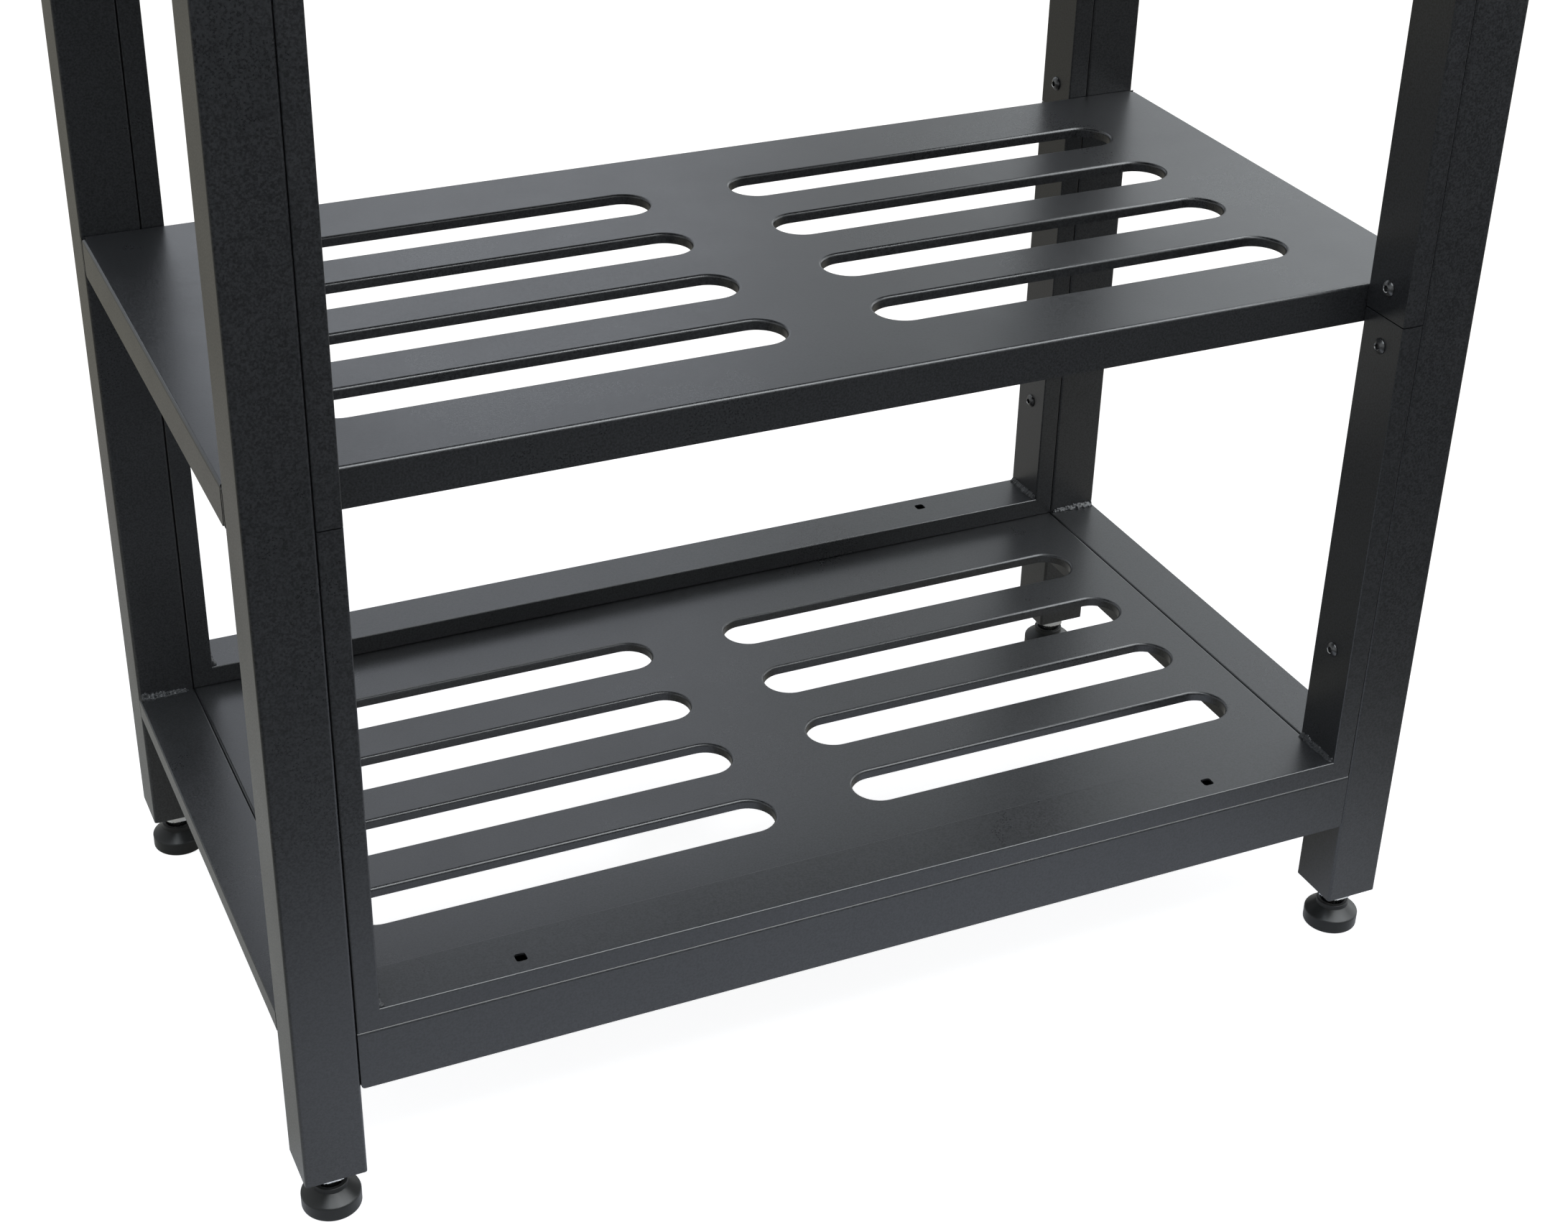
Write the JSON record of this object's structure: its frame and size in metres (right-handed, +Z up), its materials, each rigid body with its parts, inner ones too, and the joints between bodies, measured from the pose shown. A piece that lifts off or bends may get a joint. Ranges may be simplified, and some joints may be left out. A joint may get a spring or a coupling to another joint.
{
  "type": "outdoor kitchen module",
  "caption": "Free-standing black powder-coated steel frame with slotted folded shelves, a plain dark worktop and screw-in levelling feet.",
  "frame": {"origin": "on the floor under the middle of the module, at the bottom centre of its bounding box", "axes": "+Z up, +X to the right as seen from the front, +Y from the front to the rear"},
  "size_m": [0.8, 0.462, 0.855],
  "materials": {
    "powder_coat": "satin powder coat with a fine grain",
    "black_screw": "black zinc, slightly glossy",
    "zinc": "bright zinc plate",
    "black_plastic": "moulded nylon",
    "brass": "plain turned",
    "worktop_slab": "honed dark stone"
  },
  "bodies": {
    "frame": {"leg_front_left": "powder_coat", "leg_front_right": "powder_coat", "leg_rear_left": "powder_coat", "leg_rear_right": "powder_coat", "side_rail_lower_left": "powder_coat", "side_rail_lower_right": "powder_coat", "side_rail_upper_left": "powder_coat", "side_rail_upper_right": "powder_coat", "front_lower_tube": "powder_coat", "front_lower_upright_left": "powder_coat", "front_lower_upright_right": "powder_coat", "front_upper_tube": "powder_coat", "front_upper_upright_left": "powder_coat", "front_upper_upright_right": "powder_coat", "rear_lower_tube": "powder_coat", "rear_lower_upright_left": "powder_coat", "rear_lower_upright_right": "powder_coat", "rear_upper_tube": "powder_coat", "rear_upper_upright_left": "powder_coat", "rear_upper_upright_right": "powder_coat", "bottom_shelf": "powder_coat", "middle_shelf": "powder_coat", "worktop": "worktop_slab", "frame_screws": "black_screw", "shelf_screws": "black_screw", "rivet_nuts": "zinc", "worktop_screws": "black_screw", "worktop_inserts": "brass", "leg_insert_front_left": "black_plastic", "leg_insert_front_right": "black_plastic", "leg_insert_rear_left": "black_plastic", "leg_insert_rear_right": "black_plastic"},
    "pad_front_left": {"foot_pad_front_left": "black_plastic"},
    "stud_front_left": {"foot_stud_front_left": "zinc"},
    "pad_front_right": {"foot_pad_front_right": "black_plastic"},
    "stud_front_right": {"foot_stud_front_right": "zinc"},
    "pad_rear_left": {"foot_pad_rear_left": "black_plastic"},
    "stud_rear_left": {"foot_stud_rear_left": "zinc"},
    "pad_rear_right": {"foot_pad_rear_right": "black_plastic"},
    "stud_rear_right": {"foot_stud_rear_right": "zinc"}
  },
  "joints": [
    {"name": "foot_front_left_lift", "type": "slide", "parent": "frame", "child": "pad_front_left", "axis": [0, 0, -1], "range_m": [-0.003, 0.02]},
    {"name": "foot_front_left_turn", "type": "hinge", "parent": "pad_front_left", "child": "stud_front_left", "pos_m": [-0.38, -0.211, 0.025], "axis": [0, 0, -1], "range_deg": [-618, 4115]},
    {"name": "foot_front_right_lift", "type": "slide", "parent": "frame", "child": "pad_front_right", "axis": [0, 0, -1], "range_m": [-0.003, 0.02]},
    {"name": "foot_front_right_turn", "type": "hinge", "parent": "pad_front_right", "child": "stud_front_right", "pos_m": [0.38, -0.211, 0.025], "axis": [0, 0, -1], "range_deg": [-618, 4115]},
    {"name": "foot_rear_left_lift", "type": "slide", "parent": "frame", "child": "pad_rear_left", "axis": [0, 0, -1], "range_m": [-0.003, 0.02]},
    {"name": "foot_rear_left_turn", "type": "hinge", "parent": "pad_rear_left", "child": "stud_rear_left", "pos_m": [-0.38, 0.211, 0.025], "axis": [0, 0, -1], "range_deg": [-618, 4115]},
    {"name": "foot_rear_right_lift", "type": "slide", "parent": "frame", "child": "pad_rear_right", "axis": [0, 0, -1], "range_m": [-0.003, 0.02]},
    {"name": "foot_rear_right_turn", "type": "hinge", "parent": "pad_rear_right", "child": "stud_rear_right", "pos_m": [0.38, 0.211, 0.025], "axis": [0, 0, -1], "range_deg": [-618, 4115]}
  ],
  "couplings": [
    {"joint": "foot_front_left_turn", "follows": "foot_front_left_lift", "rad_per_m": 3590.4},
    {"joint": "foot_front_right_turn", "follows": "foot_front_right_lift", "rad_per_m": 3590.4},
    {"joint": "foot_rear_left_turn", "follows": "foot_rear_left_lift", "rad_per_m": 3590.4},
    {"joint": "foot_rear_right_turn", "follows": "foot_rear_right_lift", "rad_per_m": 3590.4}
  ]
}
